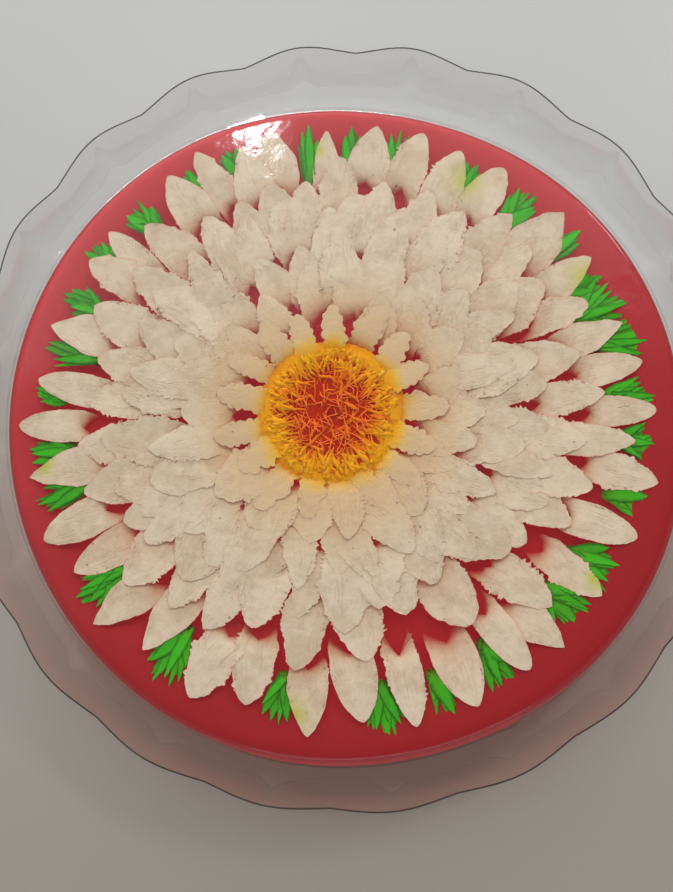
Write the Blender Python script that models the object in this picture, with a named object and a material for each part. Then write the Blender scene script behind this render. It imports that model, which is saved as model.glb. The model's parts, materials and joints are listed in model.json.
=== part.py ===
"""A moulded jelly turned out on its clear plastic plate with a scalloped, fluted rim.

Metres, +Z up. The origin is the middle of the plate's underside, the face that it rests on.
"""

import math

import bmesh
import bpy

# Plate: one thin sheet of clear plastic, drawn up into a steep wall with twenty rounded scallops
SHEET = 0.0016
FLOOR_RADIUS = 0.1465
CORNER_RADIUS = 0.0025
RIM_RADIUS = 0.1544
RIM_RADIUS_WAVE = 0.0005
RIM_HEIGHT = 0.0225
RIM_HEIGHT_WAVE = 0.0025
WALL_FLARE = 0.45
SCALLOPS = 20
FIRST_SCALLOP = math.radians(7.0)
CREASE_DEPTH = 0.0034
CREASE_SPREAD = 0.30
CREASE_TOP = 0.94
STEPS_PER_SCALLOP = 10
CORNER_STEPS = 2
WALL_STEPS = 3

# Jelly: a slightly tapered disc with a rounded top edge and the uneven outline of a soft thing
SEAT_GAP = 0.0003
JELLY_CENTRE = (-0.0005, -0.0080)
JELLY_TOP = 0.0380
TOP_RADIUS = 0.1253
TOP_ROUND = 0.0049
FOOT_RADIUS = 0.1358
FOOT_ROUND = 0.0006
OUTLINE_WAVES = ((2, 0.0015, -21.0), (3, 0.0005, 6.0), (4, 0.0003, -40.0), (5, 0.0004, 37.0))
FOOT_NICK_ANGLE = -59.0
FOOT_NICK_WIDTH = 3.0
FOOT_NICK_DEPTH = 0.0012
JELLY_STEPS = 144
ROUND_STEPS = 5
SIDE_STEPS = 3


def clear_scene():
    for thing in list(bpy.data.objects):
        bpy.data.objects.remove(thing, do_unlink=True)


def make_material(name, colour, roughness, alpha):
    material = bpy.data.materials.new(name)
    material.use_nodes = True
    shader = material.node_tree.nodes["Principled BSDF"]
    shader.inputs["Base Color"].default_value = (*colour, 1.0)
    shader.inputs["Roughness"].default_value = roughness
    shader.inputs["Metallic"].default_value = 0.0
    shader.inputs["Alpha"].default_value = alpha
    return material


def scallop_phase(angle):
    """Where an angle lies on its scallop: 0 at the crease in the middle, 1 at the notch on either side."""
    pitch = math.tau / SCALLOPS
    turned = (angle - FIRST_SCALLOP + pitch / 2) % pitch - pitch / 2
    return abs(turned) / (pitch / 2)


def rim_wave(phase):
    """+1 on the rounded crown of a scallop, -1 in the sharper notch between two."""
    even_wave = math.cos(phase * math.pi)
    notched_wave = 2.0 * math.cos(phase * math.pi / 2) - 1.0
    return (even_wave + notched_wave) / 2


def wall_point(angle, share, outer):
    """A point of the wall's inner or outer face as (radius, height); share is 0 at the foot, 1 at the rim."""
    phase = scallop_phase(angle)
    wave = rim_wave(phase)
    foot_radius = FLOOR_RADIUS + CORNER_RADIUS * 0.6
    rim_radius = RIM_RADIUS + RIM_RADIUS_WAVE * wave
    rim_height = RIM_HEIGHT + RIM_HEIGHT_WAVE * wave
    curve = (1.0 - WALL_FLARE) * share + WALL_FLARE * share**2
    # The two faces of a crease are flat triangles that meet in a fold and run out just under the rim
    fold = max(0.0, 1.0 - share / CREASE_TOP - phase / CREASE_SPREAD)
    radius = foot_radius + (rim_radius - foot_radius) * curve + CREASE_DEPTH * fold
    height = SHEET + CORNER_RADIUS + (rim_height - SHEET - CORNER_RADIUS) * share
    if outer:
        lean = math.atan2(rim_radius - foot_radius, rim_height - SHEET)
        radius += SHEET * math.cos(lean)
        height -= SHEET * math.sin(lean)
    return radius, height


def corner_point(angle, share, outer):
    """A point of the small round between floor and wall; share is 0 at the floor, 1 at the wall's foot."""
    wall_radius, wall_height = wall_point(angle, 0.0, outer)
    floor_height = 0.0 if outer else SHEET
    start = FLOOR_RADIUS - CORNER_RADIUS
    turn = share * math.pi / 2
    radius = start + (wall_radius - start) * math.sin(turn)
    height = wall_height + (floor_height - wall_height) * math.cos(turn)
    return radius, height


def plate_profile(angle):
    """The plate's section at one angle: inner floor to rim, over the rim's round edge, and back underneath."""
    inner = [corner_point(angle, i / CORNER_STEPS, False) for i in range(CORNER_STEPS)]
    inner += [wall_point(angle, i / WALL_STEPS, False) for i in range(WALL_STEPS + 1)]
    outer = [corner_point(angle, i / CORNER_STEPS, True) for i in range(CORNER_STEPS)]
    outer += [wall_point(angle, i / WALL_STEPS, True) for i in range(WALL_STEPS + 1)]
    (r_in, z_in), (r_out, z_out) = inner[-1], outer[-1]
    crest = ((r_in + r_out) / 2 + SHEET * 0.15, (z_in + z_out) / 2 + SHEET * 0.45)
    return inner + [crest] + outer[::-1]


def outline_factor(angle):
    """How far the jelly's outline swells or draws in at this angle, as a share of its radius."""
    swell = sum(size * math.cos(n * (angle - math.radians(turn))) for n, size, turn in OUTLINE_WAVES)
    return 1.0 + swell / FOOT_RADIUS


def foot_nick(angle):
    """A short torn place in the foot: it stands out before a small step and draws in after it."""
    away = (math.degrees(angle) - FOOT_NICK_ANGLE + 180.0) % 360.0 - 180.0
    return -math.exp(-((away / FOOT_NICK_WIDTH) ** 2)) * math.tanh(away * 2.0) * FOOT_NICK_DEPTH


def jelly_profile(angle):
    """The jelly's section at one angle, from the edge of its flat top down to the middle of its base."""
    factor = outline_factor(angle)
    base = SHEET + SEAT_GAP
    draft = math.atan2(FOOT_RADIUS - TOP_RADIUS - TOP_ROUND, JELLY_TOP - TOP_ROUND - base)
    sweep = math.pi / 2 - draft
    turns = [sweep * i / ROUND_STEPS for i in range(ROUND_STEPS + 1)]
    points = [
        (TOP_RADIUS + TOP_ROUND * math.sin(turn), JELLY_TOP - TOP_ROUND * (1.0 - math.cos(turn)))
        for turn in turns
    ]
    edge_radius, edge_height = points[-1]
    foot_height = base + FOOT_ROUND
    for i in range(1, SIDE_STEPS + 1):
        share = i / SIDE_STEPS
        points.append(
            (
                edge_radius + (FOOT_RADIUS - edge_radius) * share + foot_nick(angle) * share**4,
                edge_height + (foot_height - edge_height) * share,
            )
        )
    points.append((points[-1][0] - FOOT_ROUND, base))
    return [(radius * factor, height) for radius, height in points]


def turned_body(name, profile, steps, centre, middle_heights):
    """Closes a section that changes with the angle into one body, with a fan over each end's middle."""
    mesh = bmesh.new()
    rings = []
    for i in range(steps):
        angle = math.tau * i / steps + FIRST_SCALLOP
        column = []
        for radius, height in profile(angle):
            x = centre[0] + radius * math.cos(angle)
            y = centre[1] + radius * math.sin(angle)
            column.append(mesh.verts.new((x, y, height)))
        rings.append(column)
    first_middle = mesh.verts.new((*centre, middle_heights[0]))
    last_middle = mesh.verts.new((*centre, middle_heights[1]))
    for i in range(steps):
        here = rings[i]
        there = rings[(i + 1) % steps]
        mesh.faces.new((first_middle, here[0], there[0]))
        mesh.faces.new((last_middle, there[-1], here[-1]))
        for k in range(len(here) - 1):
            mesh.faces.new((here[k], here[k + 1], there[k + 1], there[k]))
    bmesh.ops.recalc_face_normals(mesh, faces=mesh.faces)
    data = bpy.data.meshes.new(name)
    mesh.to_mesh(data)
    mesh.free()
    data.shade_smooth()
    data.set_sharp_from_angle(angle=math.radians(35.0))
    body = bpy.data.objects.new(name, data)
    bpy.context.scene.collection.objects.link(body)
    return body


def make_plate():
    plate = turned_body(
        "plate", plate_profile, SCALLOPS * STEPS_PER_SCALLOP, (0.0, 0.0), (SHEET, 0.0)
    )
    plate.data.materials.append(make_material("clear_plastic", (0.80, 0.78, 0.76), 0.06, 0.25))


def make_jelly():
    base = SHEET + SEAT_GAP
    jelly = turned_body("jelly", jelly_profile, JELLY_STEPS, JELLY_CENTRE, (JELLY_TOP, base))
    jelly.data.materials.append(make_material("red_jelly", (0.55, 0.03, 0.05), 0.08, 1.0))


clear_scene()
make_plate()
make_jelly()
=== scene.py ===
"""Looks of a flower jelly on its clear plate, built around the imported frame.

A red jelly disc with a chrysanthemum of milk jelly strokes sunk in its top, standing on a clear
plastic plate with a scalloped rim. Metres, +Z up. Sections follow the way the real thing is put
together: plate, red jelly, petals, leaves, heart of the flower, and last its wet outer surface.
"""

import json
import math
import random
from collections import namedtuple

import bmesh
import bpy
import numpy as np
from mathutils import Matrix, Vector

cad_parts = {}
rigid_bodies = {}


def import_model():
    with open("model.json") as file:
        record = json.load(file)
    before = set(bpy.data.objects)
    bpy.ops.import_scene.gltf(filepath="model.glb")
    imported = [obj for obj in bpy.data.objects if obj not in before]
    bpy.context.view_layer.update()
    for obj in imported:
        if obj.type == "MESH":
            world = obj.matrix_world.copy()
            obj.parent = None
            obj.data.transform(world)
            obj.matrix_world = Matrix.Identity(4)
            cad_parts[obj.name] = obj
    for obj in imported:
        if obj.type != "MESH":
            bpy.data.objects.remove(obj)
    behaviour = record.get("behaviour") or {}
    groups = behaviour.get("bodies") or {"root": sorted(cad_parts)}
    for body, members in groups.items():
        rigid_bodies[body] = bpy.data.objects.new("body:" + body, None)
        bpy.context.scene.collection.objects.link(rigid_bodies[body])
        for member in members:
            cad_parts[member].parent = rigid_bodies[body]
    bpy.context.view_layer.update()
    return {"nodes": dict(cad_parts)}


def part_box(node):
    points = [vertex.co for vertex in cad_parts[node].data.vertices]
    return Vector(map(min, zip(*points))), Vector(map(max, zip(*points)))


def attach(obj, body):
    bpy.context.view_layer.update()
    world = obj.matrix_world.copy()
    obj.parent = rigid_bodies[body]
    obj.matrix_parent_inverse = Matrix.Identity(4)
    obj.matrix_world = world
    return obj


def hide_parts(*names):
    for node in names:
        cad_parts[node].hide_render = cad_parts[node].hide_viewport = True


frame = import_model()

# ---------------------------------------------------------------------------------------------
# Camera: held over the jelly, a little to the front and right of its middle, looking almost
# straight down.
# ---------------------------------------------------------------------------------------------

camera_data = bpy.data.cameras.new("camera")
camera_data.lens = 38.34
camera_data.sensor_width = 36.0
camera_data.clip_start = 0.02
camera = bpy.data.objects.new("camera", camera_data)
camera.location = (0.0131, -0.0817, 0.3928)
camera.rotation_euler = (math.radians(9.88), math.radians(2.45), 0.0)
bpy.context.scene.collection.objects.link(camera)
bpy.context.scene.camera = camera
bpy.context.scene.view_settings.view_transform = "Standard"

# ---------------------------------------------------------------------------------------------
# Plate: one thin sheet of clear plastic. Its wall is drawn up into twenty equal scallops, each with
# a creased flute that runs on over the floor as a low ridge, so one scallop is made and repeated.
# ---------------------------------------------------------------------------------------------

SHEET = 0.0016
SCALLOPS = 20
SCALLOP_PITCH = math.tau / SCALLOPS
FIRST_SCALLOP = math.radians(7.0)
FLOOR_RADIUS = 0.1465
CORNER_RADIUS = 0.0025
RIM_RADIUS = 0.1544
RIM_RADIUS_WAVE = 0.0005
RIM_HEIGHT_WAVE = 0.0025
WALL_FLARE = 0.45
CREASE_DEPTH = 0.0034
CREASE_SPREAD = 0.30
CREASE_TOP = 0.94
CREASE_RIDGE = 0.0011
RIDGE_WIDENING = 6.0
RIDGE_END = 0.112
RIDGE_FADE = 0.008
RIM_SHEET = 0.0007
PLATE_CLEAR = (0.95, 0.945, 0.94)
PLATE_SHADE = (0.970, 0.985, 0.985)
PLATE_STEEP = (0.955, 0.970, 0.970)
PLATE_SHADOW = (0.990, 0.990, 0.990)
PLATE_HAZE = (0.60, 0.60, 0.585)
PLATE_PAINTED_REFLECTION = (0.99, 0.875, 0.835)
PLATE_RIM_PAINTED_SHADE = (0.10, 0.10, 0.11)
SEE_THROUGH_SHARE = 0.80
HAZE_SHARE = 0.03


def link_mesh(name, data):
    thing = bpy.data.objects.new(name, data)
    bpy.context.scene.collection.objects.link(thing)
    return thing


def finished(name, mesh):
    """The mesh data of a worked bmesh, which is then let go."""
    data = bpy.data.meshes.new(name)
    mesh.to_mesh(data)
    mesh.free()
    return data


def add_node(tree, kind, inputs=None, **settings):
    """Adds a node; an input takes a plain value or another node's output socket."""
    node = tree.nodes.new(kind)
    for name, value in settings.items():
        setattr(node, name, value)
    for name, value in (inputs or {}).items():
        if isinstance(value, bpy.types.NodeSocket):
            tree.links.new(value, node.inputs[name])
        else:
            node.inputs[name].default_value = value
    return node


def calc(tree, operation, *values, clamp=False):
    """The result of one Math node."""
    node = add_node(tree, "ShaderNodeMath", dict(enumerate(values)), operation=operation)
    node.use_clamp = clamp
    return node.outputs[0]


def tint(tree, factor, below, above, blend="MIX"):
    """The colour below, mixed with the colour above by a factor."""
    values = {0: factor, 6: below, 7: above}
    for key in (6, 7):
        if isinstance(values[key], tuple):
            values[key] = (*values[key], 1.0)
    return add_node(tree, "ShaderNodeMix", values, data_type="RGBA", blend_type=blend).outputs[2]


def ramp(tree, value, low, high, smooth=True):
    """0 where the value is low, 1 where it is high; low may be the larger of the two."""
    node = add_node(tree, "ShaderNodeMapRange", {"Value": value, "From Min": low, "From Max": high})
    if smooth:
        node.interpolation_type = "SMOOTHSTEP"
    return node.outputs[0]


def noise(tree, vector, scale, detail=3.0, roughness=0.5):
    node = add_node(
        tree,
        "ShaderNodeTexNoise",
        {"Vector": vector, "Scale": scale, "Detail": detail, "Roughness": roughness},
    )
    return node.outputs["Fac"]


def distance_from(tree, place, point):
    """How far the shaded point is from a fixed point, in metres."""
    node = add_node(tree, "ShaderNodeVectorMath", {0: place, 1: tuple(point)}, operation="DISTANCE")
    return node.outputs["Value"]


def facing(tree, vector, way):
    """How far a vector reaches along a fixed way."""
    node = add_node(tree, "ShaderNodeVectorMath", {0: vector, 1: way}, operation="DOT_PRODUCT")
    return node.outputs["Value"]


def new_material(name):
    """An empty node material and its tree, with only the output node left in."""
    material = bpy.data.materials.new(name)
    material.use_nodes = True
    tree = material.node_tree
    for node in list(tree.nodes):
        if node.type != "OUTPUT_MATERIAL":
            tree.nodes.remove(node)
    return material, tree, tree.nodes["Material Output"].inputs["Surface"]


def rim_wave(phase):
    """+1 on the rounded crown of a scallop (phase 0), -1 in the sharper notch beside it (phase 1)."""
    return math.cos(phase * math.pi) / 2 + math.cos(phase * math.pi / 2) - 0.5


def wall_point(phase, share, outer):
    """A point of the wall's section as (radius, height); share is 0 at its foot, 1 at the rim."""
    wave = rim_wave(phase)
    foot_radius = FLOOR_RADIUS + CORNER_RADIUS * 0.6
    rim_radius = RIM_RADIUS + RIM_RADIUS_WAVE * wave
    rim_height = RIM_HEIGHT + RIM_HEIGHT_WAVE * wave
    curve = (1.0 - WALL_FLARE) * share + WALL_FLARE * share**2
    fold = max(0.0, 1.0 - share / CREASE_TOP - phase / CREASE_SPREAD)
    radius = foot_radius + (rim_radius - foot_radius) * curve + CREASE_DEPTH * fold
    height = SHEET + CORNER_RADIUS + (rim_height - SHEET - CORNER_RADIUS) * share
    if outer:
        lean = math.atan2(rim_radius - foot_radius, rim_height - SHEET)
        thick = SHEET + (RIM_SHEET - SHEET) * share
        radius += thick * math.cos(lean)
        height -= thick * math.sin(lean)
    return radius, height


def floor_ridge(phase, radius):
    """How far the floor stands up where a wall's crease runs on over it, widening inwards."""
    spread = CREASE_SPREAD + RIDGE_WIDENING * (FLOOR_RADIUS - radius)
    inner_end = max(0.0, min(1.0, (radius - RIDGE_END) / RIDGE_FADE))
    return CREASE_RIDGE * max(0.0, 1.0 - phase / spread) * inner_end


def plate_section(phase, corner_steps=6, wall_steps=14):
    """The plate's section: middle of the floor, wall, round rim edge, and back to the middle beneath."""
    faces = []
    start = FLOOR_RADIUS - CORNER_RADIUS
    for outer in (False, True):
        foot_radius, foot_height = wall_point(phase, 0.0, outer)
        points = [(0.0, 0.0 if outer else SHEET)]
        for radius in (0.070, RIDGE_END, 0.116, 0.120, 0.126, 0.132, 0.138):
            points.append((radius, points[0][1] + floor_ridge(phase, radius)))
        floor_height = points[0][1] + floor_ridge(phase, start)
        for i in range(corner_steps):
            turn = i / corner_steps * math.pi / 2
            radius = start + (foot_radius - start) * math.sin(turn)
            points.append((radius, foot_height + (floor_height - foot_height) * math.cos(turn)))
        shares = [i / wall_steps for i in range(wall_steps)] + [0.972, 1.0]
        points += [wall_point(phase, share, outer) for share in shares]
        faces.append(points)
    inner, outer = faces
    (r_in, z_in), (r_out, z_out) = inner[-1], outer[-1]
    edge = []
    for turn in (0.25, 0.5, 0.75):
        middle = ((r_in + r_out) / 2, (z_in + z_out) / 2)
        swing = math.pi * turn
        edge.append(
            (
                middle[0] - math.cos(swing) * (r_out - r_in) / 2 + math.sin(swing) * RIM_SHEET * 0.2,
                middle[1] - math.cos(swing) * (z_out - z_in) / 2 + math.sin(swing) * SHEET * 0.4,
            )
        )
    return inner + edge + outer[::-1]


def scallop_patch(columns=40):
    """One scallop's share of the plate, an open wedge about its crease at angle 0."""
    mesh = bmesh.new()
    rim = mesh.verts.layers.float.new("rim")
    grid = []
    for i in range(columns + 1):
        share = 2.0 * i / columns - 1.0
        angle = share * SCALLOP_PITCH / 2
        section = plate_section(abs(share))
        crest = max(z for _, z in section)
        column = [mesh.verts.new((r * math.cos(angle), r * math.sin(angle), z)) for r, z in section]
        for vertex in column:
            vertex[rim] = 1.0 if vertex.co.z > crest - RIM_SHEET * 0.6 else 0.0
        grid.append(column)
    for here, there in zip(grid, grid[1:]):
        for k in range(len(here) - 1):
            mesh.faces.new((here[k], here[k + 1], there[k + 1], there[k]))
    bmesh.ops.remove_doubles(mesh, verts=mesh.verts, dist=1e-7)
    return finished("scallop_patch", mesh)


def repeating_tree():
    """Geometry nodes that turn copies of a wedge about the Z axis and weld them into one body."""
    tree = bpy.data.node_groups.new("repeat_round_axis", "GeometryNodeTree")
    for label, kind in (
        ("Wedge", "NodeSocketGeometry"),
        ("Copies", "NodeSocketInt"),
        ("First angle", "NodeSocketFloat"),
        ("Weld distance", "NodeSocketFloat"),
        ("Material", "NodeSocketMaterial"),
    ):
        tree.interface.new_socket(label, in_out="INPUT", socket_type=kind)
    tree.interface.new_socket("Body", in_out="OUTPUT", socket_type="NodeSocketGeometry")
    given = add_node(tree, "NodeGroupInput").outputs
    points = add_node(tree, "GeometryNodePoints", {"Count": given["Copies"]})
    index = add_node(tree, "GeometryNodeInputIndex").outputs[0]
    step = calc(tree, "DIVIDE", math.tau, given["Copies"])
    angle = calc(tree, "MULTIPLY_ADD", index, step, given["First angle"])
    turn = add_node(tree, "ShaderNodeCombineXYZ", {"Z": angle})
    copies = add_node(
        tree,
        "GeometryNodeInstanceOnPoints",
        {"Points": points.outputs[0], "Instance": given["Wedge"], "Rotation": turn.outputs[0]},
    )
    solid = add_node(tree, "GeometryNodeRealizeInstances", {"Geometry": copies.outputs[0]})
    welded = add_node(
        tree,
        "GeometryNodeMergeByDistance",
        {"Geometry": solid.outputs[0], "Distance": given["Weld distance"]},
    )
    smooth = add_node(tree, "GeometryNodeSetShadeSmooth", {"Geometry": welded.outputs[0]})
    painted = add_node(
        tree,
        "GeometryNodeSetMaterial",
        {"Geometry": smooth.outputs[0], "Material": given["Material"]},
    )
    add_node(tree, "NodeGroupOutput", {"Body": painted.outputs[0]})
    return tree


def grown(name, base, tree, values):
    """Runs a geometry tree once on a mesh and returns the result as a plain object of its own."""
    host = link_mesh(name + "_host", base)
    modifier = host.modifiers.new("grow", "NODES")
    modifier.node_group = tree
    for item in tree.interface.items_tree:
        if item.in_out == "INPUT" and item.name in values:
            modifier[item.identifier] = values[item.name]
    bpy.context.view_layer.update()
    graph = bpy.context.evaluated_depsgraph_get()
    data = bpy.data.meshes.new_from_object(host.evaluated_get(graph))
    data.name = name
    bpy.data.objects.remove(host, do_unlink=True)
    data.materials.clear()
    data.materials.append(values["Material"])
    data.polygons.foreach_set("material_index", [0] * len(data.polygons))
    return link_mesh(name, data)


def face_outwards(thing, sharp_from=None):
    mesh = bmesh.new()
    mesh.from_mesh(thing.data)
    bmesh.ops.recalc_face_normals(mesh, faces=mesh.faces)
    mesh.to_mesh(thing.data)
    mesh.free()
    thing.data.shade_smooth()
    if sharp_from is not None:
        thing.data.set_sharp_from_angle(angle=math.radians(sharp_from))


def clear_plastic():
    """Tinted see-through with a little real refraction, and a lighter tint for light falling through.

    The edge of the rim is painted dark, a painted shade for the darkness that refraction gives a clear
    edge, and the near side is painted warmer, a painted reflection of red light from the jelly.
    """
    material, tree, surface = new_material("plate_plastic")
    place = add_node(tree, "ShaderNodeTexCoord").outputs["Object"]
    ripple = noise(tree, place, 38.0, 2.0)
    bump = add_node(tree, "ShaderNodeBump", {"Height": ripple, "Strength": 0.25, "Distance": 0.0006})
    scuffs = ramp(tree, noise(tree, place, 210.0, 4.0), 0.55, 0.75, smooth=False)
    # Painted shade: the rim's edge is coloured dark for the darkness that refraction gives a clear
    # plastic edge.
    rim = add_node(tree, "ShaderNodeAttribute", attribute_name="rim").outputs["Fac"]
    plastic = add_node(
        tree,
        "ShaderNodeBsdfPrincipled",
        {
            "Base Color": tint(tree, rim, PLATE_CLEAR, PLATE_RIM_PAINTED_SHADE),
            "Roughness": calc(tree, "MULTIPLY_ADD", scuffs, 0.08, 0.02),
            "IOR": 1.45,
            "Transmission Weight": 1.0,
            "Normal": bump.outputs[0],
        },
    )
    slope = add_node(tree, "ShaderNodeLayerWeight", {"Blend": 0.35}).outputs["Facing"]
    near = ramp(tree, add_node(tree, "ShaderNodeSeparateXYZ", {0: place}).outputs["Y"], 0.09, -0.15)
    # Painted reflection: towards the near side the see-through tint and the haze are warmed, standing in
    # for red light from the jelly.
    clear = tint(tree, near, tint(tree, slope, PLATE_SHADE, PLATE_STEEP), PLATE_PAINTED_REFLECTION, "MULTIPLY")
    hazy = tint(tree, near, PLATE_HAZE, PLATE_PAINTED_REFLECTION, "MULTIPLY")
    through = add_node(tree, "ShaderNodeBsdfTransparent", {"Color": tint(tree, rim, clear, PLATE_RIM_PAINTED_SHADE)})
    haze = add_node(tree, "ShaderNodeBsdfDiffuse", {"Color": hazy, "Normal": bump.outputs[0]})
    shade = add_node(tree, "ShaderNodeBsdfTransparent", {"Color": (*PLATE_SHADOW, 1.0)})
    falling = add_node(tree, "ShaderNodeLightPath").outputs["Is Shadow Ray"]
    mixed = plastic
    for share, layer in ((SEE_THROUGH_SHARE, through), (HAZE_SHARE, haze), (falling, shade)):
        layers = {0: share, 1: mixed.outputs[0], 2: layer.outputs[0]}
        mixed = add_node(tree, "ShaderNodeMixShader", layers)
    tree.links.new(mixed.outputs[0], surface)
    return material


RIM_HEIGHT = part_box("plate")[1].z - RIM_HEIGHT_WAVE - SHEET * 0.34
plate = grown(
    "clear_plate",
    scallop_patch(),
    repeating_tree(),
    {
        "Copies": SCALLOPS,
        "First angle": FIRST_SCALLOP,
        "Weld distance": 1e-5,
        "Material": clear_plastic(),
    },
)
face_outwards(plate, sharp_from=40.0)
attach(plate, "root")
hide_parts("plate")

# ---------------------------------------------------------------------------------------------
# Red jelly: the body of the dessert, set in a mould and turned out, too deep in colour to see into.
# Its top is let down as a shallow tray under the flower, to leave room for the strokes above.
# ---------------------------------------------------------------------------------------------

jelly_low, jelly_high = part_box("jelly")
TOP = jelly_high.z
FLOWER = Vector((-0.0042, -0.0067))
TRAY_DEPTH = 0.0060
TRAY_INNER = 0.100
TRAY_OUTER = 0.1235
BED_INSET = 0.0007
BED_LIFT = 0.0002
RED = (0.245, 0.0064, 0.0100)
# Painted light: a lighter red towards the far side and in random patches, a greyer red for a painted
# sheen round the rim, and the strength of the painted glow.
RED_PATCHES_AND_PAINTED_LIGHT = (0.430, 0.0380, 0.0440)
RED_PAINTED_SHEEN_BAND = (0.245, 0.0210, 0.0235)
RED_PAINTED_GLOW = 0.30


def cad_rings(node):
    """The CAD solid's rings as {height: [(angle, x, y), ...]}, each sorted by angle."""
    rings = {}
    for vertex in node.data.vertices:
        x, y = vertex.co.x, vertex.co.y
        if math.hypot(x, y) > 0.05:
            key = round(math.atan2(y, x), 3)
            rings.setdefault(round(vertex.co.z, 5), {})[key] = (x, y)
    full = max(len(ring) for ring in rings.values())
    return {z: [ring[key] for key in sorted(ring)] for z, ring in rings.items() if len(ring) == full}


def closed_rings(name, rings, top_middle, foot_middle):
    """A closed body from rings of equally many points, with a fan over each end."""
    mesh = bmesh.new()
    rows = [[mesh.verts.new(point) for point in ring] for ring in rings]
    first = mesh.verts.new(top_middle)
    last = mesh.verts.new(foot_middle)
    count = len(rows[0])
    for i in range(count):
        j = (i + 1) % count
        mesh.faces.new((first, rows[0][i], rows[0][j]))
        mesh.faces.new((last, rows[-1][j], rows[-1][i]))
        for upper, lower in zip(rows, rows[1:]):
            mesh.faces.new((upper[i], lower[i], lower[j], upper[j]))
    body = link_mesh(name, finished(name, mesh))
    face_outwards(body, sharp_from=50.0)
    return body


def ease(value, low, high):
    """0 below low, 1 above high, and a soft step between."""
    share = min(1.0, max(0.0, (value - low) / (high - low)))
    return share * share * (3.0 - 2.0 * share)


def drawn_in(centre, x, y, share):
    """The point at a share of the way from the jelly's middle to a point of its outline."""
    return centre.x + (x - centre.x) * share, centre.y + (y - centre.y) * share


def tray_depth(x, y):
    """How far the red body's top lies under the jelly's surface at a point."""
    away = math.hypot(x - FLOWER.x, y - FLOWER.y)
    return BED_INSET + (TRAY_DEPTH - BED_INSET) * (1.0 - ease(away, TRAY_INNER, TRAY_OUTER))


def bed_rings(cad, centre, tray_steps=22):
    """The red body's rings: tray from the middle outwards, then the CAD outline drawn in a little."""
    heights = sorted(cad, reverse=True)
    top_ring = cad[heights[0]]
    rings = []
    for step in range(1, tray_steps + 1):
        share = step / tray_steps * 0.985
        ring = []
        for x, y in top_ring:
            point = drawn_in(centre, x, y, share)
            ring.append((*point, TOP - tray_depth(*point)))
        rings.append(ring)
    for height in heights:
        drop = BED_INSET * ease(height, jelly_low.z, TOP)
        ring = []
        for x, y in cad[height]:
            away = math.hypot(x - centre.x, y - centre.y)
            share = (away - BED_INSET * (1.0 - 0.6 * ease(height, TOP - 0.002, TOP))) / away
            ring.append((*drawn_in(centre, x, y, share), max(height - drop, jelly_low.z + BED_LIFT)))
        rings.append(ring)
    return rings


def sunk_group():
    """Shader group: a colour as it looks through the red jelly above it, by depth under the surface, with
    a painted glow: emission of that colour and of the red that lightens shade in the jelly.
    """
    tree = bpy.data.node_groups.new("seen_through_red", "ShaderNodeTree")
    for label, kind, value in (
        ("Colour", "NodeSocketColor", (0.8, 0.8, 0.8, 1.0)),
        ("Red", "NodeSocketColor", (*RED, 1.0)),
        ("Half-sunk tint", "NodeSocketColor", (1.0, 0.98, 0.86, 1.0)),
        ("Surface height", "NodeSocketFloat", TOP),
        ("Fade depth", "NodeSocketFloat", 0.004),
        ("Fade power", "NodeSocketFloat", 2.0),
        # Strengths of the painted glow: emission of the colour itself and of the red, lightening shade
        # inside the jelly.
        ("Own painted glow", "NodeSocketFloat", 0.08),
        ("Red painted glow", "NodeSocketFloat", 0.70),
    ):
        tree.interface.new_socket(label, in_out="INPUT", socket_type=kind).default_value = value
    tree.interface.new_socket("Colour", in_out="OUTPUT", socket_type="NodeSocketColor")
    tree.interface.new_socket("Painted glow", in_out="OUTPUT", socket_type="NodeSocketColor")
    tree.interface.new_socket("Sunk", in_out="OUTPUT", socket_type="NodeSocketFloat")
    given = add_node(tree, "NodeGroupInput").outputs
    place = add_node(tree, "ShaderNodeTexCoord").outputs["Object"]
    height = add_node(tree, "ShaderNodeSeparateXYZ", {0: place}).outputs["Z"]
    depth = calc(tree, "MAXIMUM", calc(tree, "SUBTRACT", given["Surface height"], height), 0.0)
    scaled = calc(tree, "POWER", calc(tree, "DIVIDE", depth, given["Fade depth"]), given["Fade power"])
    clear = calc(tree, "EXPONENT", calc(tree, "MULTIPLY", scaled, -1.0))
    sunk = calc(tree, "SUBTRACT", 1.0, clear, clamp=True)
    faded = tint(tree, sunk, given["Colour"], given["Red"])
    middle = calc(tree, "MULTIPLY", calc(tree, "MULTIPLY", sunk, clear), 4.0, clamp=True)
    tinted = tint(tree, middle, faded, given["Half-sunk tint"], "MULTIPLY")
    # Painted glow: emission of the colour and of the red, standing in for light scattered inside the
    # jelly.
    own = add_node(
        tree,
        "ShaderNodeVectorMath",
        {0: tinted, "Scale": given["Own painted glow"]},
        operation="SCALE",
    )
    through = add_node(
        tree,
        "ShaderNodeVectorMath",
        {0: given["Red"], "Scale": calc(tree, "MULTIPLY", sunk, given["Red painted glow"])},
        operation="SCALE",
    )
    glow = add_node(
        tree, "ShaderNodeVectorMath", {0: own.outputs[0], 1: through.outputs[0]}, operation="ADD"
    )
    add_node(tree, "NodeGroupOutput", {"Colour": tinted, "Painted glow": glow.outputs[0], "Sunk": sunk})
    return tree


seen_through_red = sunk_group()


def end_in_red(tree, surface, through, finish, paints_glow=True):
    """Ends a jelly's material: its colour as the red lets it be seen, on a shader with its finish, and
    unless told not to, a painted glow as emission.
    """
    seen = add_node(tree, "ShaderNodeGroup", through, node_tree=seen_through_red)
    finish = {"Base Color": seen.outputs["Colour"], **finish}
    if paints_glow:
        finish |= {"Emission Color": seen.outputs["Painted glow"], "Emission Strength": 1.0}
    shader = add_node(tree, "ShaderNodeBsdfPrincipled", finish)
    tree.links.new(shader.outputs[0], surface)


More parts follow.
